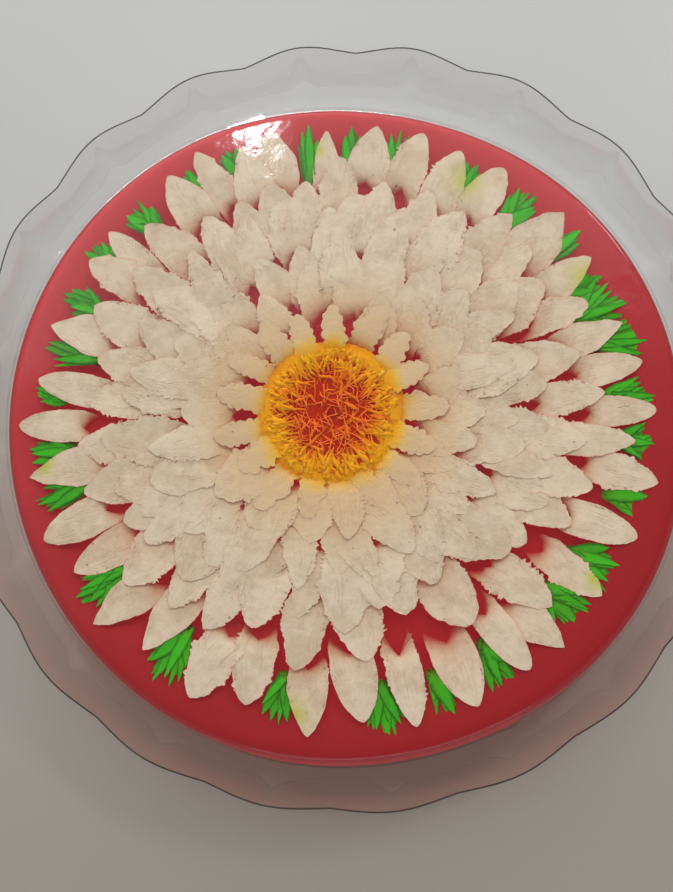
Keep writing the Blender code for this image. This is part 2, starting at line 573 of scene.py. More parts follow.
def red_body():
    """Deep red, uneven at the scale of a finger, with painted light: lighter towards the far side, a
    greyer painted sheen round the rim, and a painted glow.
    """
    material, tree, surface = new_material("red_jelly_body")
    place = add_node(tree, "ShaderNodeTexCoord").outputs["Object"]
    # Painted light: the red is made lighter towards the far side, where the light comes from; the noise
    # adds real unevenness.
    far = facing(tree, place, (-0.35, 0.94, 0.0))
    drift = calc(tree, "MULTIPLY_ADD", noise(tree, place, 26.0), 0.09, far)
    colour = tint(tree, ramp(tree, drift, -0.06, 0.17), RED, RED_PATCHES_AND_PAINTED_LIGHT)
    # Painted sheen: round the rim, just below the top, the red turns greyer and pinker for the sheen that
    # the rounded edge reflects.
    height = add_node(tree, "ShaderNodeSeparateXYZ", {0: place}).outputs["Z"]
    rounded = ramp(tree, height, TOP - 0.0010, TOP - 0.0014, smooth=False)
    outwards = distance_from(tree, place, (*JELLY_CENTRE, TOP))
    outer = ramp(tree, outwards, 0.1225, 0.1245, smooth=False)
    colour = tint(tree, calc(tree, "MULTIPLY", rounded, outer), colour, RED_PAINTED_SHEEN_BAND)
    through = {
        "Colour": colour,
        "Red": tint(tree, outer, RED, RED_PAINTED_SHEEN_BAND),
        "Half-sunk tint": (1.0, 1.0, 1.0, 1.0),
        # The painted glow: emission that lightens the red body's shade.
        "Own painted glow": RED_PAINTED_GLOW,
        "Red painted glow": 0.45,
    }
    end_in_red(tree, surface, through, {"Roughness": 0.55, "Specular IOR Level": 0.1})
    return material


jelly_rings = cad_rings(frame["nodes"]["jelly"])
TOP_KEY = max(jelly_rings)
top_points = jelly_rings[TOP_KEY]
JELLY_CENTRE = Vector(np.mean(top_points, axis=0))
bed = closed_rings(
    "red_body",
    bed_rings(jelly_rings, JELLY_CENTRE),
    (*JELLY_CENTRE, TOP - TRAY_DEPTH),
    (*JELLY_CENTRE, jelly_low.z + BED_LIFT),
)
bed.data.materials.append(red_body())
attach(bed, "root")

# ---------------------------------------------------------------------------------------------
# Petals: strokes of opaque milk jelly, pushed in with a spoon-shaped needle. Each starts crisp at
# the surface with its tip, and dives inwards with hollow, ragged sides until the red closes over it.
# ---------------------------------------------------------------------------------------------

MM = 0.001
CREAM = (0.662, 0.549, 0.407)
CREAM_DULL = (0.545, 0.428, 0.300)
CREAM_WARM = (0.605, 0.430, 0.238)
FOLD_PAINTED_SHADE = (0.480, 0.320, 0.220)
EDGE_PINK = (0.700, 0.330, 0.250)
GRIME = (0.250, 0.160, 0.110)
BUBBLE_GREY = (0.28, 0.19, 0.14)
GLOW_YELLOW = (0.690, 0.430, 0.080)
GLOW_AMBER = (0.740, 0.340, 0.004)
STAIN_GREEN = (0.45, 0.46, 0.06)
TIP_CLEARANCE = 0.0003
Stroke = namedtuple("Stroke", "length width dip gutter notch teeth lumps lobes blunt seed")
Placing = namedtuple("Placing", "at turn stretch variant tone")
WIDEST = 0.55


def in_metres(stroke):
    """A stroke that is given in millimetres, with its lengths in metres."""
    lengths = ("length", "width", "dip", "gutter", "teeth", "lumps", "lobes")
    return stroke._replace(**{name: getattr(stroke, name) * MM for name in lengths})


def waver(rng, rows, every):
    """A slow random curve between -1 and 1, sampled once per row."""
    knots = [rng.uniform(-1.0, 1.0) for _ in range(rows // every + 3)]
    curve = []
    for j in range(rows):
        k, rest = divmod(j / every, 1.0)
        rest = rest * rest * (3.0 - 2.0 * rest)
        curve.append(knots[int(k)] * (1.0 - rest) + knots[int(k) + 1] * rest)
    return curve


def side_offsets(rng, stroke, rows):
    """How far one side stands out from the plain outline: slow lumps, round lobes and fine teeth."""
    lumps = waver(rng, rows, 7)
    patches = waver(rng, rows, 9)
    stretch = waver(rng, rows, 6)
    phase = rng.random()
    offsets = []
    for j in range(rows):
        phase += stroke.length / rows / ((3.4 + 1.2 * stretch[j]) * MM)
        lobe = (abs(math.sin(math.pi * phase)) ** 0.6 - 0.6) * (0.7 + 0.3 * patches[j])
        tooth = rng.random() ** 2 * (0.5 + 0.5 * patches[j])
        offsets.append(stroke.lumps * lumps[j] + stroke.lobes * lobe + stroke.teeth * tooth)
    return offsets


def half_width(share, blunt):
    """Outline of a stroke as a share of its half width: 0 at the tip, broadest at WIDEST."""
    if share < WIDEST:
        return math.sin(math.pi / 2 * share / WIDEST) ** blunt
    return 1.0 - 0.30 * ((share - WIDEST) / (1.0 - WIDEST)) ** 2


def stroke_mesh(name, stroke, columns=10, rows=60):
    """A closed blade with its tip at the origin, running back along -Y and down."""
    stroke = in_metres(stroke)
    rng = random.Random(stroke.seed)
    left = side_offsets(rng, stroke, rows)
    right = side_offsets(rng, stroke, rows)
    bend = rng.uniform(-0.05, 0.05)
    lopsided = rng.uniform(-0.7, 0.7)
    frayed = [rng.uniform(0.0, 0.10) for _ in range(columns + 1)]
    mesh = bmesh.new()
    uv_layer = mesh.loops.layers.uv.new("stroke")
    shares = {}
    grid = []
    middles = []
    for j in range(rows):
        share = (j / (rows - 1)) ** 0.95
        half = stroke.width / 2 * max(0.04, half_width(share, stroke.blunt))
        dive = stroke.dip * (0.13 * share + 0.87 * share**6) + TIP_CLEARANCE
        row = []
        for i in range(columns + 1):
            across = math.sin((i / columns - 0.5) * 2.6) / math.sin(1.3)
            offset = right[j] * max(0.0, across) ** 4 - left[j] * max(0.0, -across) ** 4
            offset *= min(1.0, share * 7.0)
            hollow = stroke.notch * (1.0 - abs(across) ** 2.0) + frayed[i]
            reach = share * (1.0 - hollow * (1.0 + lopsided * across) * share**4)
            sag = stroke.gutter * (1.0 - across**2) * (0.15 + 0.85 * share)
            x = half * across + offset + bend * stroke.length * share**2
            vertex = mesh.verts.new((x, -stroke.length * reach, -dive - sag))
            shares[vertex] = (across / 2 + 0.5, share)
            row.append(vertex)
        grid.append(row)
        centre = row[columns // 2].co
        under = mesh.verts.new((centre.x, centre.y, min(v.co.z for v in row) - 0.5 * MM))
        shares[under] = (0.5, share)
        middles.append(under)
    for j in range(rows - 1):
        for i in range(columns):
            mesh.faces.new((grid[j][i], grid[j + 1][i], grid[j + 1][i + 1], grid[j][i + 1]))
        mesh.faces.new((grid[j][0], middles[j], middles[j + 1], grid[j + 1][0]))
        mesh.faces.new((grid[j][-1], grid[j + 1][-1], middles[j + 1], middles[j]))
    mesh.faces.new(grid[0] + [middles[0]])
    mesh.faces.new(grid[-1][::-1] + [middles[-1]])
    bmesh.ops.recalc_face_normals(mesh, faces=mesh.faces)
    for face in mesh.faces:
        face.smooth = True
        for loop in face.loops:
            loop[uv_layer].uv = shares[loop.vert]
    data = finished(name, mesh)
    data.set_sharp_from_angle(angle=math.radians(60.0))
    return data


def stroke_kit(name, strokes, **steps):
    """A collection of stroke variants for the placing tree to pick from."""
    kit = bpy.data.collections.new(name)
    for number, stroke in enumerate(strokes):
        label = f"{name}_{number:02d}"
        kit.objects.link(bpy.data.objects.new(label, stroke_mesh(label, stroke, **steps)))
    return kit


def drop_kit(kit):
    for thing in list(kit.objects):
        bpy.data.objects.remove(thing, do_unlink=True)
    bpy.data.collections.remove(kit)


def placing_tree():
    """Geometry nodes that set one stroke of a kit on each guide point and roughen it where it lies."""
    tree = bpy.data.node_groups.new("set_strokes", "GeometryNodeTree")
    for label, kind in (
        ("Guide", "NodeSocketGeometry"),
        ("Strokes", "NodeSocketCollection"),
        ("Unevenness", "NodeSocketVector"),
        ("Grain", "NodeSocketFloat"),
        ("Ceiling", "NodeSocketFloat"),
        ("Seed", "NodeSocketFloat"),
        ("Material", "NodeSocketMaterial"),
    ):
        tree.interface.new_socket(label, in_out="INPUT", socket_type=kind)
    tree.interface.new_socket("Pieces", in_out="OUTPUT", socket_type="NodeSocketGeometry")
    given = add_node(tree, "NodeGroupInput").outputs

    def guide_value(label, kind):
        node = add_node(tree, "GeometryNodeInputNamedAttribute", data_type=kind)
        node.inputs["Name"].default_value = label
        return node.outputs[0]

    kit = add_node(tree, "GeometryNodeCollectionInfo", {"Collection": given["Strokes"]})
    kit.inputs["Separate Children"].default_value = True
    kit.inputs["Reset Children"].default_value = True
    placed = add_node(
        tree,
        "GeometryNodeInstanceOnPoints",
        {
            "Points": given["Guide"],
            "Instance": kit.outputs[0],
            "Pick Instance": True,
            "Instance Index": guide_value("variant", "INT"),
            "Rotation": guide_value("turn", "FLOAT_VECTOR"),
            "Scale": guide_value("stretch", "FLOAT_VECTOR"),
        },
    )
    solid = add_node(tree, "GeometryNodeRealizeInstances", {"Geometry": placed.outputs[0]})
    jitter = add_node(
        tree,
        "ShaderNodeTexNoise",
        {"W": given["Seed"], "Scale": given["Grain"], "Detail": 5.0, "Roughness": 0.78},
        noise_dimensions="4D",
    )
    centred = add_node(
        tree,
        "ShaderNodeVectorMath",
        {0: jitter.outputs["Color"], 1: (-0.5, -0.5, -0.5)},
        operation="ADD",
    )
    offset = add_node(
        tree,
        "ShaderNodeVectorMath",
        {0: centred.outputs[0], 1: given["Unevenness"]},
        operation="MULTIPLY",
    )
    rough = add_node(
        tree,
        "GeometryNodeSetPosition",
        {"Geometry": solid.outputs[0], "Offset": offset.outputs[0]},
    )
    place = add_node(tree, "GeometryNodeInputPosition").outputs[0]
    parts = add_node(tree, "ShaderNodeSeparateXYZ", {0: place}).outputs
    lowered = calc(tree, "MINIMUM", parts["Z"], given["Ceiling"])
    held = add_node(
        tree, "ShaderNodeCombineXYZ", {"X": parts["X"], "Y": parts["Y"], "Z": lowered}
    )
    under = add_node(
        tree,
        "GeometryNodeSetPosition",
        {"Geometry": rough.outputs[0], "Position": held.outputs[0]},
    )
    painted = add_node(
        tree,
        "GeometryNodeSetMaterial",
        {"Geometry": under.outputs[0], "Material": given["Material"]},
    )
    add_node(tree, "NodeGroupOutput", {"Pieces": painted.outputs[0]})
    return tree


set_strokes = placing_tree()


def guide_mesh(name, placings):
    """Loose points that carry each stroke's variant, turn, stretch and tone."""
    data = bpy.data.meshes.new(name)
    data.from_pydata([p.at for p in placings], [], [])
    for label, kind in (
        ("variant", "INT"),
        ("turn", "FLOAT_VECTOR"),
        ("stretch", "FLOAT_VECTOR"),
        ("tone", "FLOAT"),
    ):
        values = data.attributes.new(label, kind, "POINT").data
        for item, placing in zip(values, placings):
            if kind == "FLOAT_VECTOR":
                item.vector = getattr(placing, label)
            else:
                item.value = getattr(placing, label)
    return data


def set_in_jelly(name, kit, placings, unevenness, grain, seed, material):
    """Sets strokes in the jelly's top, pushed about by up to half of unevenness, less so in height."""
    piece = grown(
        name,
        guide_mesh(name + "_guide", placings),
        set_strokes,
        {
            "Strokes": kit,
            "Unevenness": (unevenness, unevenness, unevenness * 0.2),
            "Grain": grain,
            "Ceiling": TOP - TIP_CLEARANCE * 0.5,
            "Seed": float(seed),
            "Material": material,
        },
    )
    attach(piece, "root")
    return piece


def round_flower(angle, radius):
    """The place at a distance from the flower's middle, by its angle from +X."""
    return FLOWER.x + math.cos(angle) * radius, FLOWER.y + math.sin(angle) * radius


def petal_placing(rng, variants, degrees, tip_radius, stretch, lean):
    """A petal that points away from the flower's middle, with its tip at tip_radius."""
    angle = math.radians(degrees)
    at = (*round_flower(angle, tip_radius), TOP - rng.uniform(0.0, 0.25) * MM)
    turn = (
        math.radians(rng.uniform(-1.2, 0.6)),
        math.radians(rng.uniform(-2.5, 2.5)),
        angle - math.pi / 2 + math.radians(rng.uniform(-lean, lean)),
    )
    return Placing(at, turn, stretch, rng.choice(variants), rng.random())


# Angle from +X in degrees, tip distance and width in millimetres, as they lie round the rim
OUTER_PETALS = (
    (0, 123, 12), (9, 120, 13), (17, 117, 13), (31, 118, 14), (41, 121, 20), (55, 120, 15),
    (64, 118, 16), (72, 120, 15), (81, 119, 17), (91, 116, 11), (102, 120, 19), (108, 116, 16),
    (117, 121, 12), (124, 118, 17), (140, 116, 12), (147, 115, 15), (162, 116, 16), (173, 115, 13),
    (182, 121, 13), (192, 118, 15), (204, 119, 15), (212, 114, 15), (222, 119, 15), (232, 113, 15),
    (244, 118, 17), (254, 113, 16), (266, 120, 15), (276, 115, 17), (285, 120, 13), (296, 121, 17),
    (307, 120, 13), (314, 122, 15), (325, 121, 13), (337, 123, 14), (347, 125, 14), (354, 115, 13),
)
# The same for the row behind it, whose tips are still seen one by one
SECOND_PETALS = (
    (4, 104, 13), (13, 98, 17), (23, 108, 13), (32, 97, 18), (40, 102, 17), (48, 106, 16),
    (57, 96, 18), (66, 98, 15), (77, 96, 16), (88, 105, 16), (96, 95, 16), (105, 97, 17),
    (113, 94, 15), (122, 95, 16), (134, 107, 16), (143, 98, 16), (155, 103, 18), (166, 94, 16),
    (176, 96, 15), (187, 98, 16), (198, 99, 18), (208, 89, 16), (220, 101, 18), (231, 95, 16),
    (240, 94, 16), (250, 86, 19), (262, 97, 17), (278, 94, 19), (290, 81, 18), (303, 95, 20),
    (318, 109, 16), (325, 88, 16), (334, 99, 16), (343, 102, 16), (353, 97, 17),
)
PETAL_LENGTH = 34.0
PETAL_WIDTH = 15.0
# Rows from there inwards: tip distance, count, length and width shares, scatter of the tips, depth
INNER_ROWS = (
    (85, 34, 1.05, 1.10, 5.0, 0.68),
    (71, 28, 1.04, 1.12, 5.0, 0.72),
    (57, 22, 0.84, 1.04, 4.0, 1.05),
)
OPEN_SIDE = 285.0
OPEN_SPREAD = 36.0
OPEN_PULL = 7.0


def opened(degrees):
    """How far the inner rows draw in on the side where red shows between the outer petals."""
    away = (degrees - OPEN_SIDE + 180.0) % 360.0 - 180.0
    return OPEN_PULL * math.exp(-((away / OPEN_SPREAD) ** 2))


def petal_rows():
    """Placings of the rim row, of the two rows behind it, and of the rest."""
    rng = random.Random(11)
    rim, behind, rest = [], [], []
    for into, petals in ((rim, OUTER_PETALS), (behind, SECOND_PETALS)):
        for degrees, tip, width in petals:
            stretch = (width / PETAL_WIDTH, rng.uniform(0.92, 1.08), rng.uniform(0.75, 1.0))
            variants = range(8) if into is rim else range(3, 12)
            into.append(petal_placing(rng, variants, degrees, tip * MM, stretch, lean=7.0))
    for row, (tip, count, length, width, scatter, deep) in enumerate(INNER_ROWS):
        start = rng.uniform(0.0, 360.0)
        for number in range(count):
            degrees = start + 360.0 * (number + rng.uniform(-0.38, 0.38)) / count
            radius = tip - opened(degrees) + rng.uniform(-scatter, scatter)
            wide = width * rng.uniform(0.75, 1.3)
            stretch = (wide, length * rng.uniform(0.85, 1.1), deep * rng.uniform(0.8, 1.2))
            placing = petal_placing(rng, range(3, 12), degrees, radius * MM, stretch, lean=14.0)
            (behind if row == 0 else rest).append(placing)
    return rim, behind, rest


def milk_jelly():
    """Opaque cream: blotched and streaked, with bubbles, grime, fold lines darkened with painted shade,
    and pink along the thin edges.

    It is warmer towards the heart, where yellow has bled in, and green beside some leaves. A painted glow
    lightens its shade.
    """
    material, tree, surface = new_material("milk_jelly")
    place = add_node(tree, "ShaderNodeTexCoord").outputs["Object"]
    tone = add_node(tree, "ShaderNodeAttribute", attribute_name="tone").outputs["Fac"]
    stroke = add_node(tree, "ShaderNodeUVMap", uv_map="stroke").outputs[0]
    spot = add_node(tree, "ShaderNodeSeparateXYZ", {0: stroke}).outputs
    side = calc(tree, "ABSOLUTE", calc(tree, "SUBTRACT", spot["X"], 0.5))

    blotches = noise(tree, place, 150.0, 6.0, 0.68)
    level = calc(tree, "MULTIPLY_ADD", tone, 0.35, calc(tree, "MULTIPLY", blotches, 2.0))
    colour = tint(tree, ramp(tree, level, 0.85, 1.60), CREAM, CREAM_DULL)

    lengthwise = add_node(
        tree,
        "ShaderNodeCombineXYZ",
        {
            "X": calc(tree, "MULTIPLY", spot["X"], 11.0),
            "Y": calc(tree, "MULTIPLY", spot["Y"], 3.0),
            "Z": calc(tree, "MULTIPLY", tone, 40.0),
        },
    ).outputs[0]
    streaks = noise(tree, lengthwise, 1.6, 4.0, 0.65)
    colour = tint(tree, calc(tree, "MULTIPLY", ramp(tree, streaks, 0.50, 0.72), 0.15), colour, CREAM_DULL)
    patches = ramp(tree, noise(tree, place, 75.0), 0.45, 0.56)
    bands = calc(tree, "SUBTRACT", noise(tree, lengthwise, 0.42, 3.0, 0.55), 0.5)
    folds = ramp(tree, calc(tree, "ABSOLUTE", bands), 0.028, 0.0)
    folds = calc(tree, "MULTIPLY", folds, calc(tree, "MULTIPLY_ADD", patches, 0.7, 0.3))
    # Painted shade: the fold lines are darkened brown as if shaded in a crease; the bump below dents them
    # too.
    colour = tint(tree, calc(tree, "MULTIPLY", folds, 0.30), colour, FOLD_PAINTED_SHADE)

    away = distance_from(tree, place, (*FLOWER, TOP))
    reach = calc(tree, "MULTIPLY_ADD", noise(tree, place, 130.0), 0.008, away)
    colour = tint(tree, ramp(tree, reach, 0.068, 0.034), colour, CREAM_WARM)
    colour = tint(tree, ramp(tree, reach, 0.0375, 0.0300), colour, GLOW_YELLOW)
    colour = tint(tree, ramp(tree, reach, 0.0330, 0.0285), colour, GLOW_AMBER)

    cells = add_node(tree, "ShaderNodeTexVoronoi", {"Vector": place, "Scale": 240.0})
    chance = add_node(tree, "ShaderNodeSeparateColor", {0: cells.outputs["Color"]}).outputs[0]
    size = calc(tree, "MULTIPLY", calc(tree, "SUBTRACT", chance, 0.82, clamp=True), 1.1)
    bubble = ramp(tree, cells.outputs["Distance"], size, calc(tree, "MULTIPLY", size, 0.45))
    colour = tint(tree, calc(tree, "MULTIPLY", bubble, 0.75), colour, BUBBLE_GREY)

    near_edge = ramp(tree, side, 0.34, 0.46)
    specks = ramp(tree, noise(tree, place, 560.0, 5.0, 0.72), 0.54, 0.61)
    grime = calc(tree, "MULTIPLY", calc(tree, "MULTIPLY", near_edge, specks), patches)
    colour = tint(tree, calc(tree, "MULTIPLY", grime, 0.75), colour, GRIME)
    thin = calc(tree, "MAXIMUM", ramp(tree, side, 0.462, 0.492), ramp(tree, spot["Y"], 0.03, 0.0))
    outer = calc(tree, "MULTIPLY_ADD", ramp(tree, away, 0.070, 0.098), 0.40, 0.20)
    colour = tint(tree, calc(tree, "MULTIPLY", thin, outer), colour, EDGE_PINK)

    stain = add_node(tree, "ShaderNodeAttribute", attribute_name="stain").outputs["Fac"]
    colour = tint(tree, stain, colour, STAIN_GREEN)

    grain = noise(tree, place, 480.0, 4.0, 0.6)
    height = calc(tree, "ADD", calc(tree, "MULTIPLY", streaks, 0.3), grain)
    height = calc(tree, "MULTIPLY_ADD", calc(tree, "ADD", folds, bubble), -0.5, height)
    bump = add_node(tree, "ShaderNodeBump", {"Height": height, "Strength": 0.45, "Distance": 0.0006})
    through = {"Colour": colour, "Fade depth": 0.0032, "Fade power": 2.4}
    finish = {"Roughness": 0.6, "Specular IOR Level": 0.05, "Normal": bump.outputs[0]}
    end_in_red(tree, surface, through, finish)
    return material


milk = milk_jelly()
petal_kit = stroke_kit(
    "petal",
    [
        Stroke(PETAL_LENGTH, PETAL_WIDTH, dip, gutter, notch, teeth, lumps, 0.0, blunt, seed)
        for dip, gutter, notch, teeth, lumps, blunt, seed in (
            (6.5, 0.4, 0.28, 0.0, 0.20, 0.62, 1),
            (6.0, 0.2, 0.22, 0.3, 0.35, 0.84, 2),
            (6.5, -0.3, 0.26, 0.2, 0.25, 0.54, 3),
            (6.0, 0.5, 0.30, 0.8, 0.35, 0.70, 4),
            (6.5, 0.3, 0.24, 1.3, 0.40, 0.52, 5),
            (6.5, -0.4, 0.20, 1.0, 0.45, 0.66, 6),
            (6.0, 0.2, 0.26, 1.8, 0.30, 0.58, 7),
            (6.5, -0.2, 0.22, 2.0, 0.50, 0.62, 8),
            (6.0, 0.6, 0.20, 1.5, 0.60, 0.56, 9),
            (6.5, 0.3, 0.24, 2.2, 0.45, 0.66, 10),
            (6.0, -0.5, 0.22, 1.8, 0.55, 0.60, 11),
            (6.5, 0.1, 0.26, 1.4, 0.70, 0.52, 12),
        )
    ],
)
rim_row, rows_behind, inner_rows = petal_rows()
rim_petals = set_in_jelly("rim_petals", petal_kit, rim_row, 1.5 * MM, 220.0, 1, milk)
middle_petals = set_in_jelly("middle_petals", petal_kit, rows_behind, 2.9 * MM, 300.0, 2, milk)
inner_petals = set_in_jelly("inner_petals", petal_kit, inner_rows, 3.1 * MM, 310.0, 3, milk)
drop_kit(petal_kit)

# The innermost petals are short and lobed like small clouds, with red slits between them.
FRILL_COUNT = 17
FRILL_TIP = 43.5
frill_kit = stroke_kit(
    "frill",
    [
        Stroke(22.0, 9.5, 3.8, -0.3, 0.05, 0.3, 0.8, 1.7, 0.45, 21),
        Stroke(21.0, 10.5, 4.2, -0.2, 0.05, 0.5, 0.9, 1.4, 0.40, 22),
        Stroke(23.0, 9.0, 3.8, -0.4, 0.05, 0.3, 0.7, 2.0, 0.50, 23),
        Stroke(21.0, 9.5, 4.0, -0.2, 0.05, 0.4, 1.0, 1.6, 0.42, 24),
    ],
    rows=44,
)


def frill_row():
    rng = random.Random(5)
    placings = []
    for number in range(FRILL_COUNT):
        degrees = 2.0 + 360.0 * (number + rng.uniform(-0.15, 0.15)) / FRILL_COUNT
        radius = FRILL_TIP + rng.uniform(-2.5, 3.0)
        stretch = (rng.uniform(0.85, 1.15), rng.uniform(0.95, 1.1), 1.0)
        placings.append(petal_placing(rng, range(4), degrees, radius * MM, stretch, lean=7.0))
    return placings


frills = set_in_jelly("frilled_petals", frill_kit, frill_row(), 2.2 * MM, 300.0, 4, milk)
drop_kit(frill_kit)

# ---------------------------------------------------------------------------------------------
# Leaves: fans of narrow pointed strokes of green jelly, pushed in with a fine needle between the
# outer petals' tips and a little deeper than they lie.
# ---------------------------------------------------------------------------------------------

GREEN = (0.050, 0.500, 0.014)
GREEN_MOTTLE_AND_PAINTED_SHADE = (0.014, 0.170, 0.008)
FINGER_LENGTH = 17.0
# Angle from +X in degrees, tip and root distance in millimetres, fingers, half fan in degrees
LEAVES = (
    (3, 125, 107, 4, 15), (14, 129, 108, 5, 17), (21, 126, 102, 6, 20), (27, 121, 105, 3, 12),
    (36, 125, 106, 2, 4), (48, 122, 102, 4, 13), (60, 120, 105, 3, 10), (76, 121, 100, 4, 9),
    (86, 122, 100, 2, 5), (95, 122, 97, 2, 4), (111, 120, 108, 2, 16), (120, 120, 104, 2, 5),
    (133, 120, 104, 5, 16), (145, 121, 106, 4, 18), (155, 119, 102, 6, 17), (166, 119, 96, 4, 11),
    (176, 119, 104, 3, 9), (188, 119, 104, 5, 16), (196, 121, 99, 5, 13), (217, 122, 99, 4, 11),
    (237, 122, 101, 5, 17), (260, 121, 103, 3, 17), (280, 124, 106, 4, 17), (291, 122, 107, 3, 13),
    (303, 125, 106, 5, 19), (320, 124, 105, 6, 21), (329, 126, 106, 5, 20), (343, 127, 111, 3, 14),
    (354, 126, 111, 4, 20),
)
# Leaves that have bled into the petal beside them: angle, distance and reach in millimetres
STAINS = ((60, 108, 6), (28, 112, 6), (263, 113, 5), (327, 116, 4), (190, 112, 4), (93, 108, 3))


def leaf_placings():
    rng = random.Random(31)
    placings = []
    for degrees, tip, root, fingers, fan in LEAVES:
        angle = math.radians(degrees)
        root -= 3.0
        at_root = FLOWER + Vector((math.cos(angle), math.sin(angle))) * root * MM
        fingers += 2 + fingers // 2
        for number in range(fingers):
            spread = 2.0 * number / (fingers - 1) - 1.0
            lean = math.radians((fan * 1.5 + 5.0) * spread + rng.uniform(-4.0, 4.0))
            reach = (tip - root) * (1.0 - 0.25 * abs(spread) - rng.uniform(0.0, 0.22)) * MM
            along = Vector((math.cos(angle + lean), math.sin(angle + lean)))
            at = at_root + along * reach
            turn = (0.0, math.radians(rng.uniform(-6.0, 6.0)), angle + lean - math.pi / 2)
            broad = rng.uniform(0.75, 1.25) * (1.0 + 0.35 / fingers)
            stretch = (broad, reach / (FINGER_LENGTH * MM) * 1.12, rng.uniform(0.7, 1.0))
            at_tip = (at.x, at.y, TOP - rng.uniform(0.3, 1.3) * MM)
            placings.append(Placing(at_tip, turn, stretch, rng.randrange(5), rng.random()))
    return placings


def green_jelly():
    material, tree, surface = new_material("green_jelly")
    place = add_node(tree, "ShaderNodeTexCoord").outputs["Object"]
    tone = add_node(tree, "ShaderNodeAttribute", attribute_name="tone").outputs["Fac"]
    mottle = noise(tree, place, 420.0, 4.0)
    along = add_node(tree, "ShaderNodeUVMap", uv_map="stroke").outputs[0]
    across = add_node(tree, "ShaderNodeSeparateXYZ", {0: along}).outputs["X"]
    side = calc(tree, "ABSOLUTE", calc(tree, "SUBTRACT", across, 0.5))
    # Painted shade: each finger turns dark green towards its sides, as shade between the fingers; the
    # mottle is real tone.
    edge = calc(tree, "MULTIPLY", ramp(tree, side, 0.25, 0.5, smooth=False), 0.9)
    level = calc(tree, "MULTIPLY", calc(tree, "MULTIPLY", tone, mottle), 0.7)
    colour = tint(tree, calc(tree, "ADD", level, edge, clamp=True), GREEN, GREEN_MOTTLE_AND_PAINTED_SHADE)
    through = {
        "Colour": colour,
        "Half-sunk tint": (0.80, 0.85, 0.6, 1.0),
        "Fade depth": 0.0040,
        "Fade power": 2.0,
    }
    finish = {"Roughness": 0.55, "Specular IOR Level": 0.05}
    end_in_red(tree, surface, through, finish, paints_glow=False)
    return material


leaf_kit = stroke_kit(
    "finger",
    [
        Stroke(FINGER_LENGTH, width, dip, 0.2, 0.0, teeth, 0.3, 0.0, blunt, seed)
        for width, dip, teeth, blunt, seed in (
            (4.2, 2.5, 0.8, 0.90, 41),
            (3.6, 2.2, 1.2, 1.00, 42),
            (4.8, 2.7, 1.0, 0.80, 43),
            (3.3, 2.2, 0.8, 0.95, 44),
            (4.4, 2.8, 1.4, 0.85, 45),
        )
    ],
    columns=6,
    rows=26,
)
leaves = set_in_jelly("leaves", leaf_kit, leaf_placings(), 1.3 * MM, 420.0, 5, green_jelly())
drop_kit(leaf_kit)


def stain_petals(petals):
    """Gives each petal point its share of leaf green, strongest beside the leaf that bled."""
    count = len(petals.data.vertices)
    co = np.zeros(count * 3, np.float32)
    petals.data.vertices.foreach_get("co", co)
    co = co.reshape(-1, 3)
    share = np.zeros(count, np.float32)
    for degrees, distance, reach in STAINS:
        angle = math.radians(degrees)
        x, y = round_flower(angle, distance * MM)
        away = np.hypot(co[:, 0] - x, co[:, 1] - y) / (reach * MM)
        share = np.maximum(share, np.exp(-(away**2)) * 0.9)
    petals.data.attributes.new("stain", "FLOAT", "POINT").data.foreach_set("value", share)


for petals in (rim_petals, middle_petals, inner_petals, frills):
    stain_petals(petals)

# ---------------------------------------------------------------------------------------------
# Heart of the flower: orange-yellow jelly, scratched up with the needle. A raised golden ring has
# flat jagged flakes that point inwards, and fine threads cross the orange-red floor inside it.
# ---------------------------------------------------------------------------------------------

HEART_RADIUS = 28.5
HEART_FLOOR_DEPTH = 2.4
YOLK = (0.720, 0.340, 0.003)
AMBER = (0.730, 0.165, 0.003)
SALMON = (0.920, 0.215, 0.040)
EMBER = (0.370, 0.018, 0.001)


def thread_mesh(name, length, radius, curl, wedge, seed, sides=4):
    """A short strand lying along -Y, closed at both ends.

    A wedge is a flat jagged flake instead, broad near its start.
    """
    rng = random.Random(seed)
    rings = 10 if wedge else 7
    flat = 0.30 if wedge else 1.0
    bend = rng.uniform(-curl, curl)
    mesh = bmesh.new()
    rows = []
    for j in range(rings):
        share = j / (rings - 1)
        if wedge:
            girth = radius * (0.05 + min(1.0, 0.6 + 2.0 * share) * (1.0 - share) ** 0.9)
            jag = (rng.uniform(0.55, 1.45), rng.uniform(0.55, 1.45))
        else:
            jag = (1.0, 1.0)
            girth = radius * (0.25 + 0.75 * math.sin(math.pi * (0.12 + 0.80 * share)) ** 0.8)
        x = bend * length * math.sin(math.pi * share * 0.9) + rng.uniform(-0.1, 0.1) * radius
        row = []
        for k in range(sides):
            turn = math.tau * (k + 0.5) / sides
            side = girth * math.cos(turn)
            side *= jag[0] if side > 0.0 else jag[1]
            row.append(mesh.verts.new((x + side, -length * share, girth * math.sin(turn) * flat)))
        rows.append(row)
    for upper, lower in zip(rows, rows[1:]):
        for k in range(sides):
            m = (k + 1) % sides
            mesh.faces.new((upper[k], upper[m], lower[m], lower[k]))
    mesh.faces.new(rows[0][::-1])
    mesh.faces.new(rows[-1])
    bmesh.ops.recalc_face_normals(mesh, faces=mesh.faces)
    for face in mesh.faces:
        face.smooth = True
    return finished(name, mesh)


def thread_kit(name, lengths, radius, curl, wedge):
    kit = bpy.data.collections.new(name)
    for number, length in enumerate(lengths):
        label = f"{name}_{number:02d}"
        data = thread_mesh(label, length * MM, radius * MM, curl, wedge, 60 + number)
        kit.objects.link(bpy.data.objects.new(label, data))
    return kit


